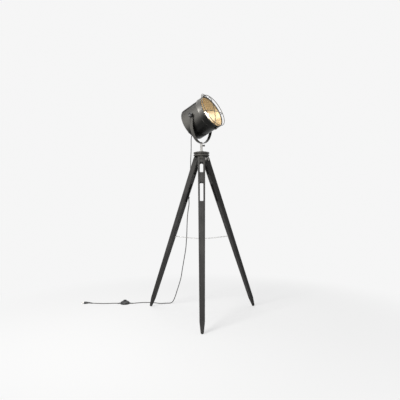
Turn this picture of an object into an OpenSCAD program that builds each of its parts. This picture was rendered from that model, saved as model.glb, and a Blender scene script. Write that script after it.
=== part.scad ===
// Tripod spotlight floor lamp: a steel drum lamp head with a wire guard tilts in a strap yoke, the yoke
// turns on a plated post, and the post stands in a cast hub that carries three folding wooden legs.
// Millimetres. +Z is up, the floor is Z = 0, and the front leg points along -Y. The origin is on the floor,
// under the middle of the box that the three feet fill.

/* [Tripod] */
// Length of a leg from its pivot bolt to the middle of its foot
leg_len = 1098; // [1040:1:1160]
// Angle that a leg leans out from the vertical, in degrees
spread = 20.8; // [18:0.1:23]
// Distance of the leg pivots from the middle of the hub
pivot_r = 32.5; // [31:0.5:40]
// Width of a leg at its pivot, across the front
leg_w_top = 49; // [44:0.5:52]
// Width of a leg above its foot
leg_w_low = 31.8; // [27:0.1:38]
// Thickness of a leg at its pivot
leg_t_top = 34.5; // [28:0.5:36]
// Thickness of a leg above its foot
leg_t_low = 22.5; // [20:0.5:28]
// Rounding of the long edges of a leg
leg_edge = 3; // [1:0.5:5]
// Width of the core between the two laths of a leg
core_w = 22; // [18:0.5:24]
// Length of the tapered foot
foot_len = 64; // [40:1:90]
// Radius of the rounded end of a foot
foot_r = 9.5; // [7:0.5:10.5]
// Depth that the end of a foot is worn flat
foot_flat = 1.5; // [0.8:0.1:3]
// Distance from the pivot down to the upper window
window_1_top = 31; // [28:1:45]
// Distance from the pivot down to the spacer between the windows
window_1_low = 106; // [90:1:125]
// Distance from the pivot down to the lower window
window_2_top = 172; // [150:1:200]
// Distance from the pivot down to the end of the lower window
window_2_low = 305; // [260:1:380]
// Corner radius of the windows
window_corner = 5; // [2:0.5:8]
// Diameter of the pivot bolts
pivot_bolt_d = 8; // [6:0.5:10]

/* [Hub] */
// Diameter of the top plate and of the flange under it
hub_d = 106; // [96:1:116]
// Thickness of the flange that the lugs hang from
flange_t = 8; // [6:0.5:12]
// Height of the groove between flange and top plate
groove_h = 6; // [4:0.5:10]
// Depth of that groove
groove_depth = 6; // [3:0.5:10]
// Thickness of the top plate at its edge
plate_t = 11; // [6:0.5:14]
// Rise of the domed top of the plate
plate_dome = 6; // [2:0.5:10]
// Width of the seat on the dome that the post's collar stands on
dome_seat_r = 14; // [12:0.5:20]

/* [Post] */
// Outer diameter of the post
post_d = 17; // [14:0.5:20]
// Wall of the post
post_wall = 2; // [1.5:0.25:3]
// Height of the post above the hub
post_rise = 46; // [36:1:80]
// Distance of the clamp screw below the top of the post
screw_drop = 8; // [7:0.5:14]
// Diameter of the clamp screw
screw_d = 6; // [4:0.5:7]
// Diameter of the clamp screw's knurled head
screw_head_d = 12; // [10:0.5:16]

/* [Brace] */
// Distance from the pivot down a leg to the chain's screw eye
eye_s = 552; // [450:1:700]
// Height of the brace ring above the floor
brace_dip = 8.2; // [3:0.2:15]
// Radius of the brace ring
brace_r = 9; // [8:0.5:14]
// Number of links in one chain
links = 17; // [13:1:21]
// Thickness of the chain's wire
link_wire = 1.8; // [1.4:0.1:2.2]
// Width of a chain link
link_w = 6.4; // [6:0.1:8]

/* [Yoke] */
// Width of the yoke strap
strap_w = 22; // [16:1:30]
// Thickness of the yoke strap
strap_t = 3.5; // [2.5:0.25:5]
// Length of the yoke's straight arms below the tilt bolts
arm_len = 53; // [48:1:80]
// Room between the drum and the strap
yoke_gap = 5.5; // [4.5:0.5:12]
// Direction that the lamp points, in degrees from +X towards -Y
pan = 33.5; // [0:0.5:60]
// Angle that the lamp points up, in degrees
tilt = 24.5; // [0:0.5:45]
// Diameter of the tilt bolts
tilt_bolt_d = 8; // [6:0.5:10]
// Diameter of the star knobs on the tilt bolts
knob_d = 33; // [26:1:40]
// Thickness of the star knobs
knob_t = 13; // [10:1:18]

/* [Lamp head] */
// Diameter of the drum
drum_d = 220; // [190:1:250]
// Thickness of the drum's sheet
drum_wall = 1.5; // [1:0.1:2.5]
// Distance from the tilt bolts forward to the front of the bezel
front_x = 85; // [75:1:100]
// Distance from the tilt bolts back to the back of the drum
back_x = 90; // [80:1:100]
// Rounding of the drum's back edge
shoulder_r = 12; // [6:1:20]
// Distance that the drum's axis lies below the tilt bolts
axis_drop = 5; // [0:1:8]
// Length of the bezel
bezel_len = 35; // [26:1:45]
// Thickness of the bezel
bezel_wall = 2.3; // [1.5:0.1:3]
// Width of the bezel's turned-in front lip
bezel_lip = 5.5; // [4:0.5:9]
// Height of the rolled bead at the back of the bezel
bezel_bead = 1.3; // [0.5:0.1:2]
// Width of the back flange that the cover is screwed to
cover_flange = 10; // [8:1:16]
// Thickness of the back cover
cover_t = 2.5; // [1.5:0.1:3.5]
// Radius of the hole in the reflector for the lamp holder
reflector_hole = 21; // [20.5:0.5:26]
// Depth of the reflector
reflector_depth = 105; // [95:1:112]
// Thickness of the reflector's sheet
reflector_wall = 1.2; // [0.8:0.1:2]
// Radius of the bulb's glass
bulb_r = 30; // [24:1:34]
// Radius of the bulb's screw cap
cap_r = 13; // [12:0.5:14]
// Length of the bulb's screw cap
cap_len = 26; // [22:1:28]
// Wall of the lamp holder
holder_wall = 5.4; // [4:0.1:6]

/* [Wire guard] */
// Thickness of the guard's wire
wire_d = 4.5; // [3:0.25:6]
// Distance of the guard's front ring ahead of the bezel
guard_ahead = 19; // [16:1:30]
// How much wider the front ring's radius is than that of the ring on the bezel
guard_flare = 4; // [0:0.5:5]
// Rise of the two bows ahead of the front ring
bow_rise = 11; // [6:1:14]
// Turn of the lower bow from the level, in degrees
level_turn = 5; // [0:1:20]
// Distance of the lower bow from the drum's middle
level_drop = 12; // [0:1:20]
// Turn of the upright bow, in degrees
upright_turn = 19; // [0:1:24]
// Distance of the upright bow from the drum's middle
upright_shift = 10; // [0:1:20]
// Turn of the guard's hinge from the top of the bezel, in degrees
hinge_turn = 12; // [0:1:30]
// Radius of the bend of the guard's top loop
loop_r = 39.4; // [34:0.2:44]
// Rise of the top loop over the hinge
loop_rise = 14; // [10:1:18]

/* [Cord] */
// Diameter of the cord
cord_d = 6; // [5:0.5:7]
// Length of the strain relief on the back cover
gland_len = 22; // [20:1:40]
// Diameter of the foot switch
switch_d = 68; // [60:1:80]
// Height of the foot switch's dome
switch_h = 24; // [20:1:30]
// Diameter of the foot switch's button
button_d = 24; // [18:1:30]
// Travel of the foot switch's button
button_travel = 3; // [2:0.5:4]

/* [Hidden] */

$fn = 64;
// The three legs' directions around the hub
FRONT = -90;
RIGHT = 30;
LEFT = 150;
// Clearances: flat faces that slide, a shaft that turns, screws, and free room
slide_gap = 0.5;
running_gap = 0.05;
free_gap = 0.3;

// Tripod
foot_out = pivot_r + leg_len * sin(spread);
post_y = foot_out / 4;
pivot_z = leg_len * cos(spread) + foot_r - foot_flat;
taper_s = leg_len - foot_len;
function leg_w(s) = leg_w_top + (leg_w_low - leg_w_top) * s / taper_s;
function leg_t(s) = leg_t_top + (leg_t_low - leg_t_top) * s / taper_s;
knuckle_r = leg_t_top / 2;
spacer_clear = 1.2;
glue_gap = 0.05;
spacer_recess = 1;
bolt_head_d = 13;
bolt_head_t = 4.5;
wing_nut_t = 9;
bolt_past_nut = 3;

// Hub
flange_z = pivot_z + knuckle_r + 1;
plate_z = flange_z + flange_t + groove_h;
hub_top = plate_z + plate_t + plate_dome;
lug_w = core_w - 2 * slide_gap;
lug_r = knuckle_r - 3;
boss_r = 14;
boss_drop = 6;
nut_t = 7;
nut_d = 25;

// Post, yoke and head
post_top = hub_top + post_rise;
post_low = pivot_z - boss_drop - nut_t;
spigot_d = post_d - 2 * post_wall - 2 * running_gap;
collar_h = 7;
spigot_len = 55;
drum_r = drum_d / 2;
strap_in = drum_r + yoke_gap;
strap_out = strap_in + strap_t;
strap_low = post_top + collar_h;
tilt_z = strap_low + strap_out + arm_len;
screw_z = post_top - screw_drop;
screw_turn = -20;
screw_reach = 6;

// Drum, bezel and what is inside
bezel_in = drum_r + 0.2;
bezel_out = bezel_in + bezel_wall;
bezel_back = front_x - bezel_len;
lip_in = bezel_out - bezel_lip;
shell_front = front_x - bezel_wall - reflector_wall - 0.6;
cover_x = -back_x - cover_t;
cover_r = drum_r - shoulder_r - 1;
flange_in = drum_r - shoulder_r - cover_flange;
screw_circle = flange_in + cover_flange / 2;
reflector_front = front_x - bezel_wall - 0.2;
reflector_back = reflector_front - reflector_depth;
reflector_rim = lip_in - 1;
reflector_flange = drum_r - drum_wall - 0.3;
holder_r = cap_r + 0.5 + holder_wall;
holder_front = reflector_back + 4;
holder_back = holder_front - 52;
bulb_x = holder_front + 1.5 * bulb_r;
bracket_t = 3;
bracket_w = 42;
bracket_y = 62;
pivot_lug_r = 13;
knob_y = strap_out + 1;

// Guard
wire_r = wire_d / 2;
base_ring_x = front_x + wire_r + 0.8;
front_ring_x = front_x + guard_ahead;
guard_r = bezel_out - 3.5;
hinge_z = bezel_out + wire_r + 1.8;
hinge_half = 9;
hinge_eye_r = wire_r + 2.4;

// Brace chains
eye_out = 9;
eye_r = 4.5;
eye_wire = 2.4;
ring_wire = 3;
link_gap = 0.2;
link_round = (link_w - link_wire) / 2;
eye_x = -leg_t(eye_s) / 2 - eye_out;
eye_axis_r = pivot_r + eye_x * cos(spread) + eye_s * sin(spread);
eye_axis_z = pivot_z + eye_x * sin(spread) - eye_s * cos(spread);
chain_in = brace_r - ring_wire / 2 - link_wire / 2 - link_gap;
chain_out = eye_axis_r - eye_r + eye_wire / 2 + link_wire / 2 + link_gap;
overlap = link_wire + link_gap;
link_c = (chain_out - chain_in - overlap) / links + overlap;
brace_z = eye_axis_z - brace_dip;
function chain_u(i) = i / links;
function chain_z(i) = brace_z + (eye_axis_z - brace_z) * pow(chain_u(i), 2);
function chain_r(i) = chain_in + (link_c - overlap) * i;

// Cord route, from the post's foot on the floor: the cord's middle, in the order that it runs
cord_r = cord_d / 2;
gland_y = 18;
gland_z = -55;
gland_bore = cord_r + 0.6;
HEAD_ROUTE = [[-49, 54, 1211], [-56, 58.6, 1207], [-62, 62.6, 1202.5], [-66.5, 65.5, 1195],
              [-69, 67, 1185], [-70, 67.5, 1172], [-70, 67.5, 1150], [-70, 67.5, 1130]];
YOKE_ROUTE = [[-70, 67.5, 1129.85], [-70.5, 68, 1100], [-72.5, 69, 1055], [-74, 70, 1020]];
DROP_ROUTE = [[-74, 70, 1019.85], [-75, 71.5, 984], [-76, 73, 950], [-77, 75, 920], [-78, 77, 890],
              [-80.5, 79.5, 850], [-84, 81, 815], [-87, 81, 790], [-87.5, 81, 776]];
FLOOR_ROUTE = [[-87.5, 81, 776], [-87.5, 81, 762], [-87, 81, 730], [-93, 84, 690], [-98.5, 90, 643],
               [-101.5, 98, 587], [-104, 110, 524], [-107, 120, 482], [-113, 136, 417],
               [-127, 160, 337], [-140, 183, 265], [-149, 202, 212], [-163, 222, 160],
               [-184, 250, 95], [-196, 265, 58], [-210, 280, 24], [-222, 286, 9], [-236, 288, 3],
               [-260, 285, 3], [-290, 280, 3], [-315, 281, 3], [-345, 296, 3], [-375, 305, 3],
               [-410, 308, 3], [-445, 305, 3], [-480, 295, 3], [-505, 286, 3], [-520, 283, 3.6],
               [-532, 282, 5]];
PLUG_ROUTE = [[-600, 282, 5], [-612, 283, 3.6], [-630, 287, 3], [-655, 287, 3], [-685, 283, 3],
              [-720, 281, 3], [-755, 284, 3], [-790, 289, 3], [-815, 290, 4.5], [-832, 290, 7]];
// The routes are written for a pivot at this height. A taller tripod lifts the cord's top, and moves its foot out
route_pivot_z = 1034.439;
top_move = [0, 0, pivot_z - route_pivot_z];
foot_move = (pivot_z - route_pivot_z) * tan(spread) * [cos(LEFT), sin(LEFT), 0];
function moved(route, from, to) = [for (i = [0 : len(route) - 1])
    route[i] + from + (to - from) * i / (len(route) - 1)];
clip_at = [-87.5, 81, 776] + foot_move;
switch_at = [-566, 282, 0] + foot_move;
switch_outlet_z = 5;
switch_base_t = 2;
plug_at = [-832, 290, 7] + foot_move;
plug_len = 36;
plug_w = 26;
plug_t = 13.6;
pin_d = 4;
pin_len = 19;
pin_pitch = 18.6;

// ---- places ----

// Stands its children on the floor under the post
module at_post() {
    translate([0, post_y, 0]) children();
}

// Puts its children at a leg's pivot: +X out of the tripod, -Z down the leg
module at_leg(turn) {
    at_post() rotate([0, 0, turn]) translate([pivot_r, 0, pivot_z]) rotate([0, -spread, 0]) children();
}

// Puts its children at the tilt bolts, facing where the yoke faces
module at_yoke() {
    at_post() translate([0, 0, tilt_z]) rotate([0, 0, -pan]) children();
}

// The same, tilted with the lamp head
module at_head() {
    at_yoke() rotate([0, -tilt, 0]) children();
}

// Puts its children on the drum's own axis, which runs along X
module at_drum() {
    at_head() translate([0, 0, -axis_drop]) children();
}

// Turns an outline of [radius, distance along X] around X
module turned(points, facets = 96) {
    rotate([0, 90, 0]) rotate_extrude($fn = facets) polygon(points);
}

module rod_x(r, x0, x1) {
    translate([x0, 0, 0]) rotate([0, 90, 0]) cylinder(r = r, h = x1 - x0);
}

module rod_y(r, y0, y1) {
    translate([0, y0, 0]) rotate([-90, 0, 0]) cylinder(r = r, h = y1 - y0);
}

// A wire bent into a circle around Z, or a part of one
module wire_ring(r, wire, angle = 360) {
    rotate_extrude(angle = angle, $fn = 96) translate([r, 0]) circle(r = wire, $fn = 24);
}

// ---- hub ----

module leg_lug() {
    difference() {
        union() {
            translate([pivot_r, 0, 0]) rod_y(lug_r, -lug_w / 2, lug_w / 2);
            translate([0, -lug_w / 2, 0]) cube([pivot_r + lug_r, lug_w, flange_z - pivot_z]);
            translate([0, -lug_w / 2, -lug_r]) cube([pivot_r, lug_w, lug_r]);
        }
        translate([pivot_r, 0, 0]) rod_y(pivot_bolt_d / 2, -lug_w, lug_w);
        translate([0, 0, -2 * lug_r]) cylinder(r = boss_r - 1, h = 4 * lug_r + 20);
    }
}

module hub_casting() {
    color([0.16, 0.15, 0.14]) at_post() difference() {
        union() {
            translate([0, 0, flange_z]) cylinder(d = hub_d, h = flange_t);
            translate([0, 0, flange_z + flange_t]) cylinder(d = hub_d - 2 * groove_depth, h = groove_h);
            translate([0, 0, pivot_z - boss_drop]) cylinder(r = boss_r, h = flange_z - pivot_z + boss_drop);
            for (turn = [FRONT, RIGHT, LEFT]) rotate([0, 0, turn]) translate([0, 0, pivot_z]) leg_lug();
        }
        translate([0, 0, pivot_z - 60]) cylinder(d = post_d, h = hub_top);
        translate([0, 0, pivot_z - boss_drop - 60]) cylinder(d = nut_d + 1, h = 60);
    }
}

module top_plate() {
    dome_r = hub_d / 2 - 2;
    steps = 8;
    color([0.17, 0.16, 0.15]) at_post() difference() {
        rotate_extrude($fn = 96) polygon(concat(
            [[0, plate_z], [hub_d / 2 - 3, plate_z], [hub_d / 2, plate_z + 3],
             [hub_d / 2, plate_z + plate_t - 2]],
            [for (i = [0 : steps]) let(r = dome_r + (dome_seat_r - dome_r) * i / steps)
                [r, plate_z + plate_t + plate_dome * sin(90 * i / steps)]],
            [[0, hub_top]]));
        translate([0, 0, plate_z - 1]) cylinder(d = post_d, h = 40);
    }
}

module post_tube() {
    collar_t = 4;
    color([0.80, 0.79, 0.76]) at_post() difference() {
        union() {
            translate([0, 0, post_low]) cylinder(d = post_d, h = post_top - post_low);
            translate([0, 0, hub_top]) cylinder(r = dome_seat_r - 2, h = collar_t);
        }
        translate([0, 0, post_low - 1]) cylinder(d = post_d - 2 * post_wall, h = post_top - post_low + 2);
        translate([0, 0, screw_z]) rotate([0, 0, screw_turn]) rod_x(screw_d / 2 + 0.02, 0, post_d);
    }
}

module post_nut() {
    color([0.55, 0.54, 0.52]) at_post() difference() {
        translate([0, 0, post_low]) cylinder(d = nut_d, h = nut_t, $fn = 6);
        translate([0, 0, post_low - 1]) cylinder(d = post_d + 0.1, h = nut_t + 2);
    }
}

module post_clamp_screw() {
    head_x = post_d / 2 + screw_reach;
    color([0.14, 0.13, 0.13]) at_post() translate([0, 0, screw_z]) rotate([0, 0, screw_turn]) {
        rod_x(screw_d / 2 - 0.03, spigot_d / 2 + 0.6, head_x + 1);
        rod_x(screw_head_d / 2, head_x, head_x + 8);
        rod_x(screw_head_d / 2 - 2, head_x - 2, head_x + 9.5);
    }
}

// ---- brace ----

module brace_ring() {
    color([0.72, 0.71, 0.69]) at_post() translate([0, 0, brace_z]) wire_ring(brace_r, ring_wire / 2);
}

module chain_link() {
    half = link_c / 2 - link_round;
    for (side = [-1, 1]) {
        translate([0, side * link_round, 0]) rod_x(link_wire / 2, -half, half, $fn = 24);
        translate([side * half, 0, 0]) rotate([0, 0, side * 90 - 180])
            wire_ring(link_round, link_wire / 2, 180);
    }
}

// Links from the brace ring out to a leg's screw eye, every other one turned on its side
module chain(turn) {
    color([0.72, 0.71, 0.69]) at_post() rotate([0, 0, turn]) for (i = [0 : links - 1]) {
        drop = atan((chain_z(i + 1) - chain_z(i)) / (link_c - overlap));
        translate([chain_r(i) + link_c / 2, 0, (chain_z(i) + chain_z(i + 1)) / 2])
            rotate([0, -drop, 0]) rotate([i % 2 == 0 ? 90 : 0, 0, 0]) chain_link();
    }
}

module chain_eye(turn) {
    shank = 10;
    color([0.70, 0.69, 0.66]) at_leg(turn) translate([eye_x, 0, -eye_s]) {
        rotate([0, spread, 0]) wire_ring(eye_r, eye_wire / 2);
        rod_x(eye_wire / 2 - 0.1, eye_r - 0.2, eye_out + shank);
    }
}

// ---- legs ----

// The lower end of a piece of lath at s: its outer long edges are rounded, its inner face is on the core
module lath_slice(s, side) {
    t = leg_t(s) / 2;
    w = leg_w(s) / 2;
    edge = min(leg_edge, 0.45 * (w - core_w / 2));
    translate([0, 0, -s]) for (x = [-1, 1]) {
        translate([x * (t - edge), side * (w - edge), 0]) cylinder(r = edge, h = 2, $fn = 24);
        translate([x * (t - 1) - 1, side * (core_w / 2 + 1) - 1, 0]) cube(2);
    }
}

// One lath: its top is rounded about the pivot bolt
module lath(side) {
    full = leg_w_top / 2 - leg_edge;
    difference() {
        hull() {
            rod_y(knuckle_r, side > 0 ? core_w / 2 : -full, side > 0 ? full : -core_w / 2);
            rod_y(knuckle_r - leg_edge, side > 0 ? core_w / 2 : -leg_w_top / 2,
                  side > 0 ? leg_w_top / 2 : -core_w / 2);
            lath_slice(taper_s, side);
        }
        rod_y(pivot_bolt_d / 2, -leg_w_top, leg_w_top);
    }
}

module leg_laths(turn) {
    color([0.13, 0.12, 0.12]) at_leg(turn) {
        lath(-1);
        lath(1);
    }
}

// Two windows pass through the leg from front to back, with rounded corners
module window(top, low) {
    half = core_w / 2;
    for (s = [top + window_corner, low - window_corner])
        for (y = [window_corner - half, half - window_corner])
            translate([0, y, -s]) rod_x(window_corner, -leg_t_top, leg_t_top);
    translate([-leg_t_top, window_corner - half, -low])
        cube([2 * leg_t_top, core_w - 2 * window_corner, low - top]);
    translate([-leg_t_top, -half - 1, window_corner - low])
        cube([2 * leg_t_top, core_w + 2, low - top - 2 * window_corner]);
}

// A block between the laths from s = top to s = low, as thick as the leg less a small recess
module core_block(top, low) {
    hull() for (s = [top + 1, low]) translate([spacer_recess - leg_t(s) / 2, glue_gap - core_w / 2, -s])
        cube([leg_t(s) - 2 * spacer_recess, core_w - 2 * glue_gap, 1]);
}

module leg_spacers(turn) {
    color([0.12, 0.11, 0.11]) at_leg(turn) {
        difference() {
            core_block(lug_r + spacer_clear, window_1_top + core_w / 3);
            translate([0, 0, -window_1_top - core_w / 2]) rod_x(core_w / 2, -leg_t_top, leg_t_top);
        }
        difference() {
            core_block(window_1_low - window_corner, window_2_top + window_corner);
            window(window_1_top, window_1_low);
            window(window_2_top, window_2_low);
            for (s = [window_1_low + 15, window_2_top - 15], x = [-1, 1])
                translate([x * (leg_t(s) / 2 - spacer_recess), 0, -s]) rod_y(1.2, -core_w, core_w, $fn = 24);
        }
    }
}

module leg_core(turn) {
    color([0.12, 0.11, 0.11]) at_leg(turn) difference() {
        core_block(window_2_low - window_corner, taper_s);
        window(window_2_top, window_2_low);
        translate([0, 0, -eye_s]) rod_x(eye_wire / 2, -leg_t_top, 0);
    }
}

module foot(turn) {
    t = leg_t(taper_s) / 2 - leg_edge;
    w = leg_w(taper_s) / 2 - leg_edge;
    color([0.10, 0.10, 0.10]) difference() {
        at_leg(turn) hull() {
            for (x = [-t, t], y = [-w, w]) translate([x, y, -taper_s - 6])
                cylinder(r = leg_edge, h = 6, $fn = 24);
            translate([0, 0, -leg_len]) sphere(r = foot_r, $fn = 32);
        }
        translate([-2 * foot_out, -2 * foot_out, -20]) cube([4 * foot_out, 4 * foot_out, 20]);
    }
}

// The bolt goes through both laths and the lug: its head is on one side, its wing nut on the other.
// The front leg's is the other way round from the rest, so that the nuts of two legs never meet
module pivot_bolt(turn) {
    color([0.45, 0.44, 0.42]) at_leg(turn) mirror([0, turn == FRONT ? 1 : 0, 0]) {
        rod_y(pivot_bolt_d / 2 - running_gap, -leg_w_top / 2 - wing_nut_t - bolt_past_nut,
              leg_w_top / 2 + 1);
        rod_y(bolt_head_d / 2, leg_w_top / 2, leg_w_top / 2 + bolt_head_t, $fn = 6);
    }
}

module wing_nut(turn) {
    wing_l = 6;
    wing_t = 3;
    nut_y = -leg_w_top / 2 - wing_nut_t;
    color([0.78, 0.77, 0.74]) at_leg(turn) mirror([0, turn == FRONT ? 1 : 0, 0]) difference() {
        union() {
            rod_y(6.5, nut_y, nut_y + wing_nut_t);
            for (side = [-1, 1]) translate([0, nut_y + 1.5, side * (5 + wing_l / 2)]) {
                translate([-wing_t / 2, 0, -wing_l / 2]) cube([wing_t, 7, wing_l]);
                translate([0, 3.5, side * wing_l / 2]) rod_x(3, -wing_t / 2, wing_t / 2);
            }
        }
        rod_y(pivot_bolt_d / 2, nut_y - 1, nut_y + wing_nut_t + 1);
    }
}

// A saddle on the far side of the left leg that holds the cord
module cord_clip() {
    clip_h = 9;
    ring_r = cord_r + 1.8;
    face_s = (pivot_z - clip_at[2]) / cos(spread);
    color([0.08, 0.08, 0.08]) difference() {
        union() {
            at_post() translate(clip_at - [0, 0, clip_h / 2]) cylinder(r = ring_r, h = clip_h);
            at_leg(LEFT) translate([-leg_t(face_s) / 2 + 6, -leg_w(face_s) / 2 - 1.8, -face_s - clip_h / 2])
                cube([10, 1.8, clip_h]);
        }
        at_post() translate(clip_at - [0, 0, clip_h]) cylinder(r = cord_r + 0.3, h = 2 * clip_h);
        at_leg(LEFT) translate([-leg_t_top, -leg_w(face_s) / 2 - 0.15, -face_s - 40]) cube([2 * leg_t_top, 40, 80]);
    }
}

// ---- yoke ----

module yoke_strap() {
    color([0.20, 0.19, 0.18]) at_yoke() difference() {
        union() {
            translate([0, 0, -arm_len]) rotate([0, 90, 0]) rotate([0, 0, -90])
                rotate_extrude(angle = 180, $fn = 128) translate([strap_in, -strap_w / 2])
                square([strap_t, strap_w]);
            for (side = [-1, 1]) {
                translate([-strap_w / 2, side > 0 ? strap_in : -strap_out, -arm_len])
                    cube([strap_w, strap_t, arm_len]);
                rod_y(strap_w / 2, side > 0 ? strap_in : -strap_out, side > 0 ? strap_out : -strap_in);
            }
        }
        rod_y(tilt_bolt_d / 2, -strap_out - 1, strap_out + 1);
        translate([0, 0, -arm_len - strap_out - 1]) cylinder(d = screw_d + 0.2, h = strap_t + 2);
    }
}

// The pin that turns in the post: a collar stands on the post's end, under the strap
module yoke_spigot() {
    color([0.74, 0.73, 0.71]) at_post() difference() {
        union() {
            translate([0, 0, post_top - spigot_len]) cylinder(d = spigot_d, h = spigot_len - 0.05);
            translate([0, 0, post_top]) cylinder(d = post_d, h = collar_h - 0.1);
        }
        translate([0, 0, strap_low - 16]) cylinder(d = screw_d, h = 20);
    }
}

module spigot_screw() {
    head_z = strap_low + strap_t + 0.3;
    color([0.55, 0.54, 0.52]) at_post() {
        translate([0, 0, strap_low - 14]) cylinder(d = screw_d - 0.1, h = 14 + strap_t + 1);
        translate([0, 0, head_z]) cylinder(d = 2 * screw_d + 1, h = 4.5, $fn = 6);
        translate([0, 0, head_z + 4]) cylinder(d = screw_d + 3, h = 1.5);
    }
}

module star_knob(side) {
    lobes = 5;
    scallop_r = knob_d / 6;
    color([0.05, 0.05, 0.05]) at_yoke() rotate([0, 0, side > 0 ? 0 : 180]) difference() {
        union() {
            rod_y(knob_d / 2, knob_y + 3, knob_y + knob_t);
            rod_y(knob_d / 4, knob_y, knob_y + 4);
        }
        for (i = [0 : lobes - 1]) rotate([0, 360 / lobes * i + 40, 0]) translate([0, 0, knob_d * 0.57])
            rod_y(scallop_r, knob_y + 2, knob_y + knob_t + 1);
        rod_y(tilt_bolt_d / 2, knob_y - 1, knob_y + knob_t - 3);
    }
}

// ---- lamp head ----

// Two threaded bolts, each with a saddle that beds on the drum and fills the room up to the strap
module tilt_bolts() {
    color([0.40, 0.39, 0.37]) at_head() for (side = [-1, 1]) rotate([0, 0, side > 0 ? 0 : 180]) {
        difference() {
            rod_y(pivot_lug_r, drum_r - 8, strap_in - 0.1);
            translate([0, 0, -axis_drop]) rod_x(drum_r, -30, 30, $fn = 96);
        }
        rod_y(tilt_bolt_d / 2 - running_gap, drum_r - 12, knob_y + knob_t - 4);
        rod_y(tilt_bolt_d * 0.8, drum_r - 12, drum_r - 5, $fn = 6);
    }
}

module drum_shell() {
    arc = [for (a = [0 : 15 : 90]) [drum_r - shoulder_r + shoulder_r * cos(a),
                                   -back_x + shoulder_r - shoulder_r * sin(a)]];
    inner_round = shoulder_r - drum_wall;
    arc_in = [for (a = [90 : -15 : 0]) [drum_r - shoulder_r + inner_round * cos(a),
                                       -back_x + shoulder_r - inner_round * sin(a)]];
    seam_w = 7;
    seam_turn = 42;
    color([0.15, 0.15, 0.14]) at_drum() difference() {
        union() {
            turned(concat([[drum_r, shell_front]], arc,
                          [[flange_in, -back_x], [flange_in, -back_x + drum_wall]],
                          arc_in, [[drum_r - drum_wall, shell_front]]));
            rotate([90 - seam_turn, 0, 0]) rotate([0, 90, 0]) rotate([0, 0, 180 - seam_w / 2])
                translate([0, 0, shoulder_r + 3 - back_x]) rotate_extrude(angle = seam_w, $fn = 96)
                translate([drum_r - 0.4, 0]) square([1.4, back_x - shoulder_r + bezel_back - 5]);
        }
        translate([0, 0, axis_drop]) rod_y(tilt_bolt_d / 2, -drum_r - 5, drum_r + 5);
        for (i = [0 : 3]) rotate([45 + 90 * i, 0, 0]) translate([0, 0, screw_circle])
            rod_x(2.05, -back_x - 1, -back_x + drum_wall + 1, $fn = 24);
    }
}

module back_cover() {
    slots = 5;
    slot_l = 64;
    color([0.14, 0.14, 0.13]) at_drum() difference() {
        union() {
            turned([[0, -back_x], [cover_r, -back_x], [cover_r, 1 - back_x - cover_t],
                    [cover_r - 1, cover_x], [0, cover_x]]);
            turned([[74, cover_x + 1], [74, cover_x - 1.2], [77, cover_x - 1.2], [77, cover_x + 1]]);
        }
        for (i = [0 : slots - 1]) translate([cover_x - 2, 0, 12 + 10 * i]) {
            translate([0, 2 - slot_l / 2 + 3 * i, -2]) cube([cover_t + 4, slot_l - 4 - 6 * i, 4]);
        }
        translate([0, gland_y, gland_z]) rod_x(gland_bore + 2.5, cover_x - 3, -back_x + 3);
        for (i = [0 : 3]) rotate([45 + 90 * i, 0, 0]) translate([0, 0, screw_circle])
            rod_x(2.2, cover_x - 1, 1 - back_x, $fn = 24);
    }
}

module cover_screws() {
    color([0.50, 0.49, 0.47]) at_drum() for (i = [0 : 3]) rotate([45 + 90 * i, 0, 0])
        translate([0, 0, screw_circle]) {
            rod_x(2, cover_x - 0.5, -back_x + 5, $fn = 24);
            rod_x(4, cover_x - 2.4, cover_x, $fn = 32);
        }
}

module bezel() {
    color([0.17, 0.17, 0.16]) at_drum() difference() {
        union() {
            turned([[bezel_in, bezel_back], [bezel_out + bezel_bead, bezel_back],
                    [bezel_out + bezel_bead, bezel_back + 3], [bezel_out, bezel_back + 4.2],
                    [bezel_out, front_x - 2], [bezel_out - 2, front_x], [lip_in, front_x],
                    [lip_in, front_x - bezel_wall], [bezel_in, front_x - bezel_wall]]);
            translate([front_x - 8, -6, -bezel_out - 2.4]) cube([wire_d + 12, 12, 4]);
        }
        translate([front_x + 0.01, -10, -guard_r - wire_r - 0.4]) cube([30, 20, wire_d + 4]);
        translate([bezel_back + 18, 0, 0]) mirror([0, 0, 1]) cylinder(d = screw_d - 1, h = drum_r + 9);
    }
}

// The knurled screw under the bezel that clamps it on the drum
module bezel_screw() {
    color([0.06, 0.06, 0.06]) at_drum() translate([bezel_back + 18, 0, 0]) mirror([0, 0, 1]) {
        translate([0, 0, drum_r + 0.1]) cylinder(d = screw_d - 1.1, h = bezel_wall + 3);
        translate([0, 0, bezel_out + 1.2]) cylinder(d = screw_head_d, h = 8);
        translate([0, 0, bezel_out + 0.6]) cylinder(d = screw_head_d - 4, h = 10);
    }
}

module reflector() {
    steps = 14;
    function bowl_r(i) = reflector_hole + (reflector_rim - reflector_hole) * i / steps;
    function bowl_x(i) = reflector_back + reflector_depth
        * (pow(bowl_r(i), 2) - pow(reflector_hole, 2)) / (pow(reflector_rim, 2) - pow(reflector_hole, 2));
    color([0.83, 0.70, 0.45]) at_drum() turned(concat(
        [for (i = [0 : steps]) [bowl_r(i), bowl_x(i)]],
        [[reflector_flange, reflector_front], [reflector_flange, reflector_front - reflector_wall]],
        [for (i = [steps : -1 : 0]) [bowl_r(i), bowl_x(i) - reflector_wall - 0.8 * i / steps]]));
}

module lamp_holder() {
    color([0.88, 0.86, 0.80]) at_drum() difference() {
        union() {
            rod_x(holder_r, holder_back, holder_front);
            rod_x(holder_r - 4, holder_back - 4, holder_back + 1);
        }
        rod_x(cap_r + 0.4, holder_front - cap_len - 1, holder_front + 1);
    }
}

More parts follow.
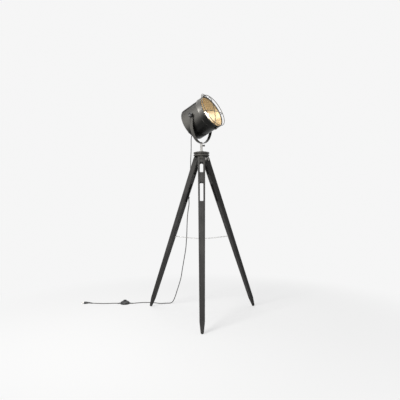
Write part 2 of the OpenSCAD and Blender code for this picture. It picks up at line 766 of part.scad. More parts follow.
// A bent strip across the back of the drum that carries the lamp holder
module holder_bracket() {
    plate_x = holder_back - bracket_t;
    foot_x = -back_x + drum_wall;
    color([0.60, 0.59, 0.57]) at_drum() difference() {
        union() {
            translate([plate_x, -bracket_y, -bracket_w / 2]) cube([bracket_t, 2 * bracket_y, bracket_w]);
            for (side = [-1, 1]) {
                translate([foot_x, side > 0 ? bracket_y - bracket_t : -bracket_y, -bracket_w / 2])
                    cube([plate_x - foot_x + bracket_t, bracket_t, bracket_w]);
                translate([foot_x, side > 0 ? bracket_y - bracket_t : -flange_in - 6, -bracket_w / 2])
                    cube([bracket_t, flange_in + 6 - bracket_y + bracket_t, bracket_w]);
            }
        }
        rod_x(holder_r - 3.9, plate_x - 2, holder_back + 2);
    }
}

module bulb_cap() {
    color([0.75, 0.73, 0.68]) at_drum() {
        rod_x(cap_r, holder_front - cap_len + 4, holder_front + 0.2);
        rod_x(cap_r - 5, holder_front - cap_len, holder_front - cap_len + 5);
    }
}

module bulb_glass() {
    neck_a = 145;
    steps = 10;
    function glass(r) = [for (i = [0 : steps]) let(a = neck_a * i / steps) [r * sin(a), bulb_x + r * cos(a)]];
    color([1.0, 0.93, 0.75, 0.6]) at_drum() turned(concat(
        glass(bulb_r), [[cap_r - 0.6, holder_front + 0.2], [cap_r - 1.8, holder_front + 0.2]],
        [for (i = [steps : -1 : 0]) glass(bulb_r - 1.2)[i]]), 64);
}

// ---- wire guard ----

// The strip on the bezel whose rolled end the guard hangs in
module guard_hinge() {
    strip_t = 2.2;
    color([0.30, 0.29, 0.28]) at_drum() rotate([hinge_turn, 0, 0]) difference() {
        union() {
            translate([base_ring_x, 0, hinge_z]) rod_y(hinge_eye_r, -hinge_half, hinge_half);
            translate([front_x - 22, -hinge_half, bezel_out - 1])
                cube([base_ring_x - front_x + 22, 2 * hinge_half, strip_t + 1]);
        }
        translate([base_ring_x, 0, hinge_z]) rod_y(wire_r + running_gap, -20, 20);
        rod_x(bezel_out, 0, front_x + 0.01, $fn = 96);
        translate([front_x, -20, 0]) cube([20, 40, bezel_out - 0.5]);
    }
}

module wire_guard() {
    front_r = guard_r + guard_flare;
    reach = front_ring_x - base_ring_x;
    loop_mid = hinge_z + loop_rise - loop_r;
    loop_foot = (pow(guard_r, 2) - pow(loop_r, 2) + pow(loop_mid, 2)) / (2 * loop_mid);
    loop_a = acos((loop_foot - loop_mid) / loop_r);
    color([0.42, 0.41, 0.39]) at_drum() {
        translate([base_ring_x, 0, 0]) rotate([0, 90, 0]) wire_ring(guard_r, wire_r);
        translate([front_ring_x, 0, 0]) rotate([0, 90, 0]) wire_ring(front_r, wire_r);
        guard_bow(front_r, reach, level_turn, -level_drop, -1.2);
        guard_bow(front_r, reach, 90 - upright_turn, upright_shift, 1.2);
        rotate([hinge_turn, 0, 0]) {
            bar_half = sqrt(pow(loop_r, 2) - pow(hinge_z - loop_mid, 2));
            translate([base_ring_x, 0, hinge_z]) rod_y(wire_r, -bar_half, bar_half);
            translate([base_ring_x, 0, loop_mid]) rotate([90, 0, 90]) rotate([0, 0, 90 - loop_a])
                wire_ring(loop_r, wire_r - 0.2, 2 * loop_a);
        }
    }
}

// A bow over the front ring, with the two struts that carry its ends from the ring on the bezel
module guard_bow(front_r, reach, turn, off, ahead) {
    half = sqrt(pow(front_r, 2) - pow(off, 2));
    bow_r = (pow(half, 2) + pow(bow_rise, 2)) / (2 * bow_rise);
    bow_a = asin(half / bow_r);
    rotate([turn, 0, 0]) {
        translate([front_ring_x + bow_rise - bow_r + ahead, 0, off]) rotate([0, 0, -bow_a])
            wire_ring(bow_r, wire_r - 0.2, 2 * bow_a);
        for (side = [-1, 1]) rotate([side * asin(off / front_r), 0, 0])
            translate([base_ring_x, side * guard_r, 0]) rotate([0, 0, side * atan(guard_flare / reach)])
                rod_x(wire_r - 0.2, 0, norm([reach, guard_flare]));
    }
}

// ---- cord ----

module cord_gland() {
    end_x = cover_x - gland_len;
    color([0.07, 0.07, 0.07]) at_drum() translate([0, gland_y, gland_z]) difference() {
        union() {
            turned([[gland_bore, cover_x], [9, cover_x], [9, cover_x - 4], [gland_bore + 3, cover_x - 5],
                    [gland_bore + 1, end_x], [gland_bore, end_x]], 48);
            turned([[gland_bore, cover_x - 1], [gland_bore + 2.3, cover_x - 1],
                    [gland_bore + 2.3, -back_x + 1], [9, -back_x + 1],
                    [9, -back_x + 5], [gland_bore, -back_x + 5]], 48);
        }
    }
}

function unit(v) = v / norm(v);
// The directions across the cord at ring i of a route
function along(p, i) = unit(p[min(i + 1, len(p) - 1)] - p[max(i - 1, 0)]);
function across(t) = unit(cross(t, abs(t[2]) > 0.8 ? [0, 1, 0] : [0, 0, 1]));
function ring(p, i, sides) = let(t = along(p, i), a = across(t), b = cross(a, t))
    [for (k = [0 : sides - 1]) p[i] + cord_r * (cos(360 * k / sides) * a + sin(360 * k / sides) * b)];
// A ring's own turn, so that neighbouring rings face each other
function best_turn(p, i, sides) = i == 0 ? 0 : let(
    before = best_turn(p, i - 1, sides),
    mark = ring(p, i - 1, sides)[before] - p[i - 1],
    here = ring(p, i, sides),
    fit = [for (k = [0 : sides - 1]) (here[k] - p[i]) * mark],
    best = max(fit)) search(best, fit)[0];

// A tube along a route
module cord_tube(p) {
    sides = 8;
    rings = [for (i = [0 : len(p) - 1]) let(r = ring(p, i, sides), turn = best_turn(p, i, sides))
        [for (k = [0 : sides - 1]) r[(k + turn) % sides]]];
    last = (len(p) - 1) * sides;
    color([0.25, 0.25, 0.25]) at_post() polyhedron(
        points = [for (r = rings) for (q = r) q],
        faces = concat(
            [[for (k = [0 : sides - 1]) k]],
            [for (i = [0 : len(p) - 2]) for (k = [0 : sides - 1]) let(n = (k + 1) % sides)
                [i * sides + k, (i + 1) * sides + k, (i + 1) * sides + n, i * sides + n]],
            [[for (k = [sides - 1 : -1 : 0]) last + k]]));
}

module cord_head() { cord_tube(moved(HEAD_ROUTE, top_move, top_move)); }
module cord_yoke() { cord_tube(moved(YOKE_ROUTE, top_move, top_move)); }
module cord_drop() { cord_tube(moved(DROP_ROUTE, top_move, foot_move)); }
module cord_floor() { cord_tube(moved(FLOOR_ROUTE, foot_move, foot_move)); }
module cord_plug_end() { cord_tube(moved(PLUG_ROUTE, foot_move, foot_move)); }

module at_switch() {
    at_post() translate(switch_at) children();
}

module switch_case() {
    r = switch_d / 2;
    wall = 2.2;
    rim = 8;
    steps = 8;
    function dome(k, top, foot) = [for (i = [0 : steps]) let(a = 90 * i / steps)
        [k * cos(a), foot + (top - foot) * sin(a)]];
    color([0.05, 0.05, 0.05]) at_switch() difference() {
        union() {
            rotate_extrude($fn = 72) polygon(concat([[r - wall, switch_base_t], [r, switch_base_t]],
                dome(r, switch_h, rim), [[0, switch_h - wall]],
                [for (i = [steps : -1 : 0]) dome(r - wall, switch_h - wall, rim)[i]]));
            for (side = [-1, 1]) translate([side * (r - 3), 0, switch_outlet_z]) rotate([0, side * 90, 0])
                cylinder(r = 4.2, h = 3, $fn = 32);
        }
        translate([0, 0, switch_base_t - 10]) cylinder(r = r + 10, h = 10);
        translate([0, 0, 4]) cylinder(d = button_d + 2 * free_gap, h = switch_h);
        for (side = [-1, 1]) translate([0, 0, switch_outlet_z]) rotate([0, side * 90, 0])
            cylinder(r = cord_r - 0.6, h = r + 5, $fn = 32);
    }
}

module switch_base() {
    color([0.08, 0.08, 0.08]) at_switch() {
        cylinder(d = switch_d - 1, h = switch_base_t);
        translate([0, 0, switch_base_t - 0.1]) cylinder(d = 8, h = 6);
    }
}

module switch_button() {
    cap_h = 5;
    color([0.12, 0.12, 0.12]) at_switch() difference() {
        union() {
            translate([0, 0, switch_h - 8]) cylinder(d = button_d, h = 8 + cap_h - 2);
            translate([0, 0, switch_h + cap_h - 2]) cylinder(d = button_d - 3, h = 2);
            translate([0, 0, switch_h - 9]) cylinder(d = button_d + 5, h = 4);
        }
        translate([0, 0, switch_h - 10]) cylinder(d = 9, h = 6);
    }
}

module plug_body() {
    color([0.05, 0.05, 0.05]) at_post() translate(plug_at) difference() {
        hull() {
            for (y = [-1, 1], z = [-1, 1]) translate([-plug_len, y * (plug_w / 2 - 4), z * (plug_t / 2 - 4)])
                rotate([0, 90, 0]) cylinder(r = 4, h = 12, $fn = 24);
            rotate([0, -90, 0]) cylinder(r = cord_r + 1.6, h = 2, $fn = 24);
        }
        for (y = [-1, 1]) translate([-plug_len - 1, y * pin_pitch / 2, 0]) rotate([0, 90, 0])
            cylinder(d = pin_d, h = 9, $fn = 24);
    }
}

module plug_pins() {
    color([0.78, 0.77, 0.74]) at_post() translate(plug_at) for (y = [-1, 1])
        translate([-plug_len - pin_len, y * pin_pitch / 2, 0]) rotate([0, 90, 0]) {
            cylinder(d = pin_d - 0.04, h = pin_len + 8, $fn = 24);
            translate([0, 0, -1]) cylinder(d1 = pin_d - 2, d2 = pin_d - 0.04, h = 1, $fn = 24);
        }
}

hub_casting();
top_plate();
post_tube();
post_nut();
post_clamp_screw();
brace_ring();
chain(FRONT);  // front_chain
chain(RIGHT);  // right_chain
chain(LEFT);  // left_chain
leg_laths(FRONT);  // front_leg_laths
leg_spacers(FRONT);  // front_leg_spacers
leg_core(FRONT);  // front_leg_core
foot(FRONT);  // front_foot
pivot_bolt(FRONT);  // front_pivot_bolt
wing_nut(FRONT);  // front_wing_nut
chain_eye(FRONT);  // front_chain_eye
leg_laths(RIGHT);  // right_leg_laths
leg_spacers(RIGHT);  // right_leg_spacers
leg_core(RIGHT);  // right_leg_core
foot(RIGHT);  // right_foot
pivot_bolt(RIGHT);  // right_pivot_bolt
wing_nut(RIGHT);  // right_wing_nut
chain_eye(RIGHT);  // right_chain_eye
leg_laths(LEFT);  // left_leg_laths
leg_spacers(LEFT);  // left_leg_spacers
leg_core(LEFT);  // left_leg_core
foot(LEFT);  // left_foot
pivot_bolt(LEFT);  // left_pivot_bolt
wing_nut(LEFT);  // left_wing_nut
chain_eye(LEFT);  // left_chain_eye
cord_clip();
yoke_strap();
yoke_spigot();
spigot_screw();
star_knob(-1);  // near_star_knob
star_knob(1);  // far_star_knob
tilt_bolts();
drum_shell();
back_cover();
cover_screws();
bezel();
bezel_screw();
reflector();
lamp_holder();
holder_bracket();
bulb_cap();
bulb_glass();
guard_hinge();
wire_guard();
cord_gland();
cord_head();
cord_yoke();
cord_drop();
cord_floor();
cord_plug_end();
switch_case();
switch_base();
switch_button();
plug_body();
plug_pins();
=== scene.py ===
import math

import bmesh
import bpy
from mathutils import Matrix, Vector


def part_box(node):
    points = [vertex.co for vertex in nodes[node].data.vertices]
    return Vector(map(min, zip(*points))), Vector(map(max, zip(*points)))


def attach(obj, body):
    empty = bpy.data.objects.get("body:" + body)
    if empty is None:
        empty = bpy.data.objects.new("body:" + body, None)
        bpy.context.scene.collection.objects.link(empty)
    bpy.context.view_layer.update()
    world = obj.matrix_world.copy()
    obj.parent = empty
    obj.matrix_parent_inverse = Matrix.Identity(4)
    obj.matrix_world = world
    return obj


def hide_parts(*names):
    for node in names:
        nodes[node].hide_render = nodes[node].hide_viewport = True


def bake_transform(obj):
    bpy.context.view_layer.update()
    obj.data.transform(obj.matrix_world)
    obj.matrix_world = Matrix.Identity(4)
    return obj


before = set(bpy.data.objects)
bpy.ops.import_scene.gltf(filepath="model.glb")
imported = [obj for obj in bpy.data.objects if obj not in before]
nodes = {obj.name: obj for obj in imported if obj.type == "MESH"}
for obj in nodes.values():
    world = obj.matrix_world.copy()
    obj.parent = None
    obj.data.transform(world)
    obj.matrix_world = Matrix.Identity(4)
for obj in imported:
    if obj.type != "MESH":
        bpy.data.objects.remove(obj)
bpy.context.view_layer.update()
MM = 0.001

# ---- Hub and post ----
# A cast hub, painted dark grey and rubbed in places, with a plated steel post clamped through it.
# The hub, its plate, the nut and the clamp screw keep the shapes of the solids.

POST_Y = sum(corner.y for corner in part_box("post_tube")) / 2
HUB_GREY = (0.060, 0.057, 0.051)
HUB_RUBBED = (0.150, 0.145, 0.135)
PLATED_BRIGHT = (0.48, 0.47, 0.45)
PLATED_DULL = (0.33, 0.32, 0.30)
DARK_STEEL = (0.045, 0.043, 0.040)
WORN_STEEL = (0.10, 0.10, 0.095)


class Link:
    """A node's output in a finish. A sum or a product with it adds a Math node."""

    def __init__(self, finish, socket):
        self.finish = finish
        self.socket = socket

    def maths(self, operation, *values):
        return self.finish.node("ShaderNodeMath", {"operation": operation}, dict(enumerate(values)))

    def __add__(self, other):
        return self.maths("ADD", self, other)

    def __sub__(self, other):
        return self.maths("SUBTRACT", self, other)

    def __mul__(self, other):
        return self.maths("MULTIPLY", self, other)

    def size(self):
        return self.maths("ABSOLUTE", self)

    def ramp(self, start, end):
        """0 up to start, 1 from end on, and smooth in between."""
        smooth = {"interpolation_type": "SMOOTHSTEP"}
        span = {"Value": self, "From Min": start, "From Max": end}
        return self.finish.node("ShaderNodeMapRange", smooth, span)


class Finish:
    """A material in the making: its Principled shader and the nodes that feed it."""

    def __init__(self, name, **sockets):
        self.material = bpy.data.materials.new(name)
        self.material.use_nodes = True
        self.tree = self.material.node_tree
        self.shader = self.tree.nodes["Principled BSDF"]
        self.set(**sockets)

    def node(self, kind, settings=None, sockets=None, output=0):
        made = self.tree.nodes.new(kind)
        for name, value in (settings or {}).items():
            setattr(made, name, value)
        for name, value in (sockets or {}).items():
            self.join(value, made.inputs[name])
        return Link(self, made.outputs[output])

    def join(self, value, socket):
        if isinstance(value, Link):
            self.tree.links.new(value.socket, socket)
        elif socket.type == "RGBA" and len(value) == 3:
            socket.default_value = (*value, 1)
        else:
            socket.default_value = value

    def set(self, **sockets):
        for name, value in sockets.items():
            self.join(value, self.shader.inputs[name.replace("_", " ")])

    def places(self, stretch=(1, 1, 1)):
        """Where a point lies in its piece's own frame, in metres, stretched along X, Y and Z."""
        own = self.node("ShaderNodeTexCoord", output="Object")
        return self.node("ShaderNodeMapping", {}, {"Vector": own, "Scale": stretch})

    def grain(self, scale, detail=4, stretch=(1, 1, 1), rough=0.55):
        """Noise from 0 to 1. Scale is in spots a metre."""
        at = self.places(stretch)
        sockets = {"Vector": at, "Scale": scale, "Detail": detail, "Roughness": rough}
        return self.node("ShaderNodeTexNoise", {}, sockets)

    def mix(self, share, first, second):
        """From the first colour at share 0 to the second at 1."""
        blend = {"data_type": "RGBA"}
        return self.node("ShaderNodeMix", blend, {0: share, 6: first, 7: second}, output=2)

    def bump(self, height, strength, depth):
        sockets = {"Height": height, "Strength": strength, "Distance": depth}
        return self.node("ShaderNodeBump", {}, sockets)

    def axes(self, vector):
        """A vector's three numbers."""
        parts = self.node("ShaderNodeSeparateXYZ", {}, {"Vector": vector})
        outputs = parts.socket.node.outputs
        return [Link(self, outputs[n]) for n in range(3)]


def painted(name, colour, rubbed, roughness, metallic=0.0):
    """Sprayed enamel on metal: faint orange peel, dull patches and a few rubbed spots."""
    paint = Finish(name, Metallic=metallic, Specular_IOR_Level=0.3)
    patches = paint.grain(14, 5)
    spots = paint.grain(420, 3).ramp(0.63, 0.74) * paint.grain(30, 3).ramp(0.45, 0.62)
    tone = paint.mix(patches.ramp(0.3, 0.7) * 0.55, colour, rubbed)
    paint.set(
        Base_Color=paint.mix(spots * 0.5, tone, rubbed),
        Roughness=patches * 0.16 + (roughness - 0.08),
        Normal=paint.bump(paint.grain(900, 2) + spots * -0.4, 0.12, 0.0003),
    )
    return paint.material


def plated(name, bright, dull, roughness):
    """Rolled and plated steel: fine lines round the piece and a few dull clouds."""
    steel = Finish(name, Metallic=1.0)
    clouds = steel.grain(35, 5)
    lines = steel.grain(90, 2, (1, 1, 24))
    steel.set(
        Base_Color=steel.mix(clouds.ramp(0.35, 0.75), bright, dull),
        Roughness=clouds * 0.18 + lines * 0.10 + (roughness - 0.12),
        Normal=steel.bump(lines, 0.08, 0.0002),
    )
    return steel.material


def coat(piece, material):
    """Puts one material on all of a piece's faces."""
    piece.data.materials.clear()
    piece.data.materials.append(material)


def rounded_shading(piece, crease=35):
    """Shades a piece smoothly, but for its edges that are sharper than the crease, in degrees."""
    piece.data.shade_smooth()
    piece.data.set_sharp_from_angle(angle=math.radians(crease))


HUB_PAINT = painted("hub_enamel", HUB_GREY, HUB_RUBBED, 0.42, 0.35)
NICKEL = plated("nickel_plate", PLATED_BRIGHT, PLATED_DULL, 0.30)
BLACKENED = plated("blackened_steel", DARK_STEEL, WORN_STEEL, 0.42)
for name in ("hub_casting", "top_plate"):
    coat(nodes[name], HUB_PAINT)
for name in ("post_tube", "yoke_spigot", "holder_bracket"):
    coat(nodes[name], NICKEL)
for name in ("post_nut", "post_clamp_screw", "spigot_screw", "tilt_bolts", "cover_screws"):
    coat(nodes[name], BLACKENED)
coat(nodes["bezel_screw"], BLACKENED)

# ---- Legs ----
# Each leg is two black-stained laths glued to a core, with two windows between them near the top.
# It hangs on a bolt through the hub's lug and stands on a moulded shoe. The laths' long edges are
# softened, and the stain has worn to a lighter grey there.
# Lower down, the stain is painted darker as painted shade.

SPREAD = math.radians(20.8)
PIVOT_R = 32.5 * MM
PIVOT_Z = 1034.44 * MM
LEG_LEN = 1098 * MM
FOOT_LEN = 64 * MM
TAPER_S = LEG_LEN - FOOT_LEN
LEG_W = (49 * MM, 31.8 * MM)
LEG_T = (34.5 * MM, 22.5 * MM)
LEG_EDGE = 3 * MM
CORE_W = 22 * MM
LEG_TURNS = {"front": -90, "right": 30, "left": 150}
STAIN = (0.042, 0.041, 0.040)
CORE_STAIN = (0.062, 0.061, 0.059)
STAIN_GRAIN_AND_SHADE = (0.024, 0.023, 0.022)
STAIN_WORN = (0.105, 0.100, 0.095)
SHOE_BLACK = (0.030, 0.029, 0.028)
SHOE_SCUFFED = (0.060, 0.058, 0.056)


def leg_place(leg):
    """The leg's own frame: at its bolt, +X out of the tripod, -Z down the leg."""
    turn = math.radians(LEG_TURNS[leg])
    return (
        Matrix.Translation((0, POST_Y, 0))
        @ Matrix.Rotation(turn, 4, "Z")
        @ Matrix.Translation((PIVOT_R, 0, PIVOT_Z))
        @ Matrix.Rotation(-SPREAD, 4, "Y")
    )


def along_leg(ends, s):
    """A size at s down the leg, from its sizes at the bolt and above the shoe."""
    return ends[0] + (ends[1] - ends[0]) * s / TAPER_S


def skinned(name, rings, close=True, caps=True):
    """A mesh through a row of rings of points, each ring closed, with its two ends filled."""
    mesh = bpy.data.meshes.new(name)
    count = len(rings[0])
    points = [p for ring in rings for p in ring]
    faces = []
    for i in range(len(rings) - 1):
        for k in range(count if close else count - 1):
            n = (k + 1) % count
            faces.append((i * count + k, i * count + n, (i + 1) * count + n, (i + 1) * count + k))
    if caps:
        faces.append(tuple(reversed(range(count))))
        faces.append(tuple(range((len(rings) - 1) * count, len(rings) * count)))
    mesh.from_pydata(points, [], faces)
    mesh.update()
    piece = bpy.data.objects.new(name, mesh)
    bpy.context.collection.objects.link(piece)
    return piece


def outward(piece):
    """Turns all of a closed piece's faces outwards."""
    shell = bmesh.new()
    shell.from_mesh(piece.data)
    bmesh.ops.remove_doubles(shell, verts=shell.verts, dist=1e-6)
    bmesh.ops.recalc_face_normals(shell, faces=shell.faces)
    shell.to_mesh(piece.data)
    shell.free()


def corner(centre_x, centre_y, radius, start, steps=4):
    """A quarter of a circle, in leg X and Y, from the angle start on."""
    turns = [math.radians(start + 90 * k / steps) for k in range(steps + 1)]
    return [(centre_x + radius * math.cos(a), centre_y + radius * math.sin(a)) for a in turns]


def lath_ring(s, side, half_t):
    """The lath's section at s: flat against the core, rounded at its two outer edges."""
    half_w = along_leg(LEG_W, max(s, 0)) / 2
    edge = min(LEG_EDGE, half_t * 0.9)
    inner = CORE_W / 2
    outline = [(half_t, inner), *corner(half_t - edge, half_w - edge, edge, 0)]
    outline += [*corner(edge - half_t, half_w - edge, edge, 90), (-half_t, inner)]
    return [(x, side * y, -s) for x, y in outline]


def stained_wood(name, stain, place=None):
    """Black stain on straight-grained wood, painted darker towards the leg's foot as painted shade.
    A piece kept from the solids needs its leg's place.
    """
    wood = Finish(name, Specular_IOR_Level=0.22)
    own = wood.node("ShaderNodeTexCoord", output="Object")
    if place is not None:
        back = place.inverted()
        turned = {"Vector": own, "Location": back.to_translation(), "Rotation": back.to_euler()}
        own = wood.node("ShaderNodeMapping", {"vector_type": "POINT"}, turned)
    across, over, down = wood.axes(own)
    fibres_at = wood.node("ShaderNodeMapping", {}, {"Vector": own, "Scale": (1, 1, 0.035)})
    fibres = wood.node("ShaderNodeTexNoise", {}, {"Vector": fibres_at, "Scale": 520, "Detail": 5})
    bands = wood.node("ShaderNodeTexNoise", {}, {"Vector": fibres_at, "Scale": 90, "Detail": 3})
    clouds = wood.node("ShaderNodeTexNoise", {}, {"Vector": own, "Scale": 9, "Detail": 4})
    width = down * ((LEG_W[0] - LEG_W[1]) / TAPER_S / 2) + LEG_W[0] / 2
    thick = down * ((LEG_T[0] - LEG_T[1]) / TAPER_S / 2) + LEG_T[0] / 2
    at_side = (over.size() - width).ramp(-3.2 * MM, -0.4 * MM)
    at_face = (across.size() - thick).ramp(-3.2 * MM, -0.4 * MM)
    worn = at_side * at_face * (fibres * 0.8 + 0.35)
    tone = wood.mix((fibres * 0.6 + bands * 0.6).ramp(0.38, 0.82), STAIN_GRAIN_AND_SHADE, stain)
    tone = wood.mix(clouds.ramp(0.35, 0.75) * 0.35, tone, STAIN_WORN)
    # Painted shade: the stain darkens from 0.45 m down the leg to 1 m.
    tone = wood.mix(down.ramp(-0.45, -1.0) * 0.65, tone, STAIN_GRAIN_AND_SHADE)
    wood.set(
        Base_Color=wood.mix(worn * 0.75, tone, STAIN_WORN),
        Roughness=fibres * 0.22 + clouds * 0.12 + 0.36,
        Normal=wood.bump(fibres + bands * 0.6, 0.22, 0.0006),
        Coat_Weight=clouds * 0.12,
    )
    return wood.material


LATH_WOOD = stained_wood("lath_wood", STAIN)
SHOE_RUBBER = painted("shoe_rubber", SHOE_BLACK, SHOE_SCUFFED, 0.62)
for leg in LEG_TURNS:
    place = leg_place(leg)
    core_wood = stained_wood(leg + "_core_wood", CORE_STAIN, place)
    for side, name in ((-1, "_lath_a"), (1, "_lath_b")):
        top = LEG_T[0] / 2
        rings = []
        for degrees in (2, 12, 24, 38, 52, 66, 78):
            a = math.radians(degrees)
            rings.append(lath_ring(-top * math.cos(a), side, max(top * math.sin(a), 0.3 * MM)))
        for k in range(25):
            s = TAPER_S * k / 24
            rings.append(lath_ring(s, side, along_leg(LEG_T, s) / 2))
        lath = skinned(leg + name, rings)
        outward(lath)
        rounded_shading(lath, 50)
        lath.matrix_world = place
        coat(lath, LATH_WOOD)
        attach(lath, leg + "_leg")
        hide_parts(leg + "_leg_laths")
    for part in ("_leg_spacers", "_leg_core"):
        coat(nodes[leg + part], core_wood)
    coat(nodes[leg + "_foot"], SHOE_RUBBER)
    coat(nodes[leg + "_pivot_bolt"], BLACKENED)
    coat(nodes[leg + "_wing_nut"], NICKEL)

# ---- Brace ----
# A light welded chain runs from a ring in the middle to a screw eye on each leg, and stops the
# legs' spread. The chains are plated wire.

CHAIN_STEEL = plated("chain_plate", (0.52, 0.51, 0.49), (0.34, 0.33, 0.31), 0.34)
for leg in LEG_TURNS:
    links = bpy.data.objects.new(leg + "_chain_links", nodes[leg + "_chain"].data.copy())
    bpy.context.collection.objects.link(links)
    rounded_shading(links, 60)
    coat(links, CHAIN_STEEL)
    coat(nodes[leg + "_chain_eye"], CHAIN_STEEL)
    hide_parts(leg + "_chain")
    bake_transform(links)
coat(nodes["brace_ring"], CHAIN_STEEL)

# ---- Yoke ----
# A strip of painted steel, bent into a U, holds the drum between two threaded bolts with moulded
# star knobs. A plated pin under it turns in the post.

TILT_Z = 1308.69 * MM
PAN = math.radians(33.5)
TILT = math.radians(24.5)
STRAP_IN = 115.5 * MM
STRAP_T = 3.5 * MM
STRAP_W = 22 * MM
ARM_LEN = 53 * MM
TIP_W = 1.3 * MM
YOKE_GREY = (0.090, 0.087, 0.080)
YOKE_RUBBED = (0.17, 0.165, 0.15)
YOKE_PLACE = Matrix.Translation((0, POST_Y, TILT_Z)) @ Matrix.Rotation(-PAN, 4, "Z")
KNOB_BLACK = (0.018, 0.018, 0.018)
KNOB_SPECKLE = (0.030, 0.030, 0.030)
KNOB_FOOT = 120
KNOB_LOBES = 5
LOBE_DEPTH = 0.145
COLLAR_R = 8.2


def strap_ring(at, out, half_w):
    """The rounded strip's section at a point of its inner line, with its outward direction."""
    e = 0.9 * MM
    cut = e * 0.3
    outline = [(-half_w, e), (-half_w + cut, cut), (-half_w + e, 0), (half_w - e, 0)]
    outline += [(half_w - cut, cut), (half_w, e), (half_w, STRAP_T - e)]
    outline += [(half_w - cut, STRAP_T - cut), (half_w - e, STRAP_T), (-half_w + e, STRAP_T)]
    outline += [(-half_w + cut, STRAP_T - cut), (-half_w, STRAP_T - e)]
    return [(x, at[0] + out[0] * d, at[1] + out[1] * d) for x, d in outline]


def strap_line():
    """From one rounded end over the bolt's hole, down round the drum, and up to the other end."""
    half = STRAP_W / 2
    end = []
    for degrees in (80, 62, 42, 20, 0):
        a = math.radians(degrees)
        end.append((half * math.cos(a), half * math.sin(a)))
    end += [(half, -ARM_LEN * k / 3) for k in range(1, 4)]
    line = [((-STRAP_IN, z), (-1, 0), max(w, TIP_W)) for w, z in end]
    for k in range(1, 48):
        a = math.pi + math.pi * k / 48
        out = (math.cos(a), math.sin(a))
        line.append(((STRAP_IN * out[0], STRAP_IN * out[1] - ARM_LEN), out, half))
    line += [((STRAP_IN, z), (1, 0), max(w, TIP_W)) for w, z in reversed(end)]
    return line


strap = skinned("yoke_band", [strap_ring(*stop) for stop in strap_line()])
outward(strap)
rounded_shading(strap, 40)
strap.matrix_world = YOKE_PLACE
coat(strap, painted("yoke_enamel", YOKE_GREY, YOKE_RUBBED, 0.30, 0.40))
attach(strap, "yoke")
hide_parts("yoke_strap")

knob_plastic = Finish("knob_plastic", Roughness=0.42)
speckle = knob_plastic.grain(800, 2)
knob_plastic.set(
    Base_Color=knob_plastic.mix(speckle, KNOB_BLACK, KNOB_SPECKLE),
    Normal=knob_plastic.bump(speckle, 0.15, 0.0003),
)
coat(nodes["cord_clip"], knob_plastic.material)
# Lift from the strap and radius, in millimetres, from the knob's collar to its dished top
KNOB_LAYERS = (
    (0, COLLAR_R), (3, COLLAR_R), (3.4, 13.6), (4.4, 14.4), (10.6, 14.4),
    (12.2, 13.6), (13, 12.2), (13, 8.5), (12.3, 7.6), (12.2, 0),
)
for side, name in ((-1, "near"), (1, "far")):
    layers = []
    for lift, r in KNOB_LAYERS:
        turns = [2 * math.pi * k / 60 for k in range(60)]
        lobe = LOBE_DEPTH * min(max((r - COLLAR_R) / 4, 0), 1)
        spread = [(r * (1 + lobe * math.cos(KNOB_LOBES * a)) * MM, a) for a in turns]
        y = side * (KNOB_FOOT + lift) * MM
        layers.append([(w * math.sin(a), y, w * math.cos(a)) for w, a in spread])
    knob = skinned(name + "_knob_moulding", layers, caps=False)
    outward(knob)
    rounded_shading(knob, 40)
    knob.matrix_world = YOKE_PLACE
    coat(knob, knob_plastic.material)
    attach(knob, name + "_knob")
    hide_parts(name + "_star_knob")

# ---- Drum ----
# The lamp's body is a spun steel drum in grey enamel, with a soft back edge and a lapped side seam.
# A pressed cover with slots closes its back, and a spun bezel with a bead clamps over its front.

AXIS_DROP = 5 * MM
DRUM_PLACE = YOKE_PLACE @ Matrix.Rotation(-TILT, 4, "Y") @ Matrix.Translation((0, 0, -AXIS_DROP))
DRUM_R = 110 * MM
FRONT_X = 85 * MM
BACK_X = -90 * MM
SHOULDER_R = 12 * MM
BEZEL_OUT = 112.5 * MM
BEZEL_BACK = 50 * MM
BEZEL_IN = 110.2 * MM
LIP_R = 108 * MM
EDGE_R = 2.4 * MM
DRUM_GREY = (0.125, 0.121, 0.112)
DRUM_RUBBED_AND_HIGHLIT = (0.170, 0.165, 0.150)
DRUM_TOP_PAINTED_SHADE = (0.050, 0.048, 0.044)
DRUM_SHADE = (0.008, 0.008, 0.007)
SEAM_BLACK = (0.006, 0.006, 0.006)
BEZEL_GREY = (0.118, 0.114, 0.105)
BEZEL_RUBBED_AND_HIGHLIT = (0.20, 0.19, 0.175)
BEZEL_TOP_PAINTED_SHADE = (0.070, 0.067, 0.061)


def spun(name, outline, turns, closed=True):
    """A piece turned about the drum's axis, from an outline of (radius, place along the axis)."""
    rings = []
    for k in range(turns):
        a = 2 * math.pi * k / turns
        rings.append([(x, r * math.cos(a), r * math.sin(a)) for r, x in outline])
    piece = skinned(name, rings + rings[:1], close=closed, caps=False)
    outward(piece)
    piece.matrix_world = DRUM_PLACE
    return piece


def bend(centre_r, centre_x, radius, start, end, steps=6):
    """Points round a bend of an outline, from one angle to the other, in degrees."""
    turns = [math.radians(start + (end - start) * k / steps) for k in range(steps + 1)]
    return [(centre_r + radius * math.cos(a), centre_x + radius * math.sin(a)) for a in turns]


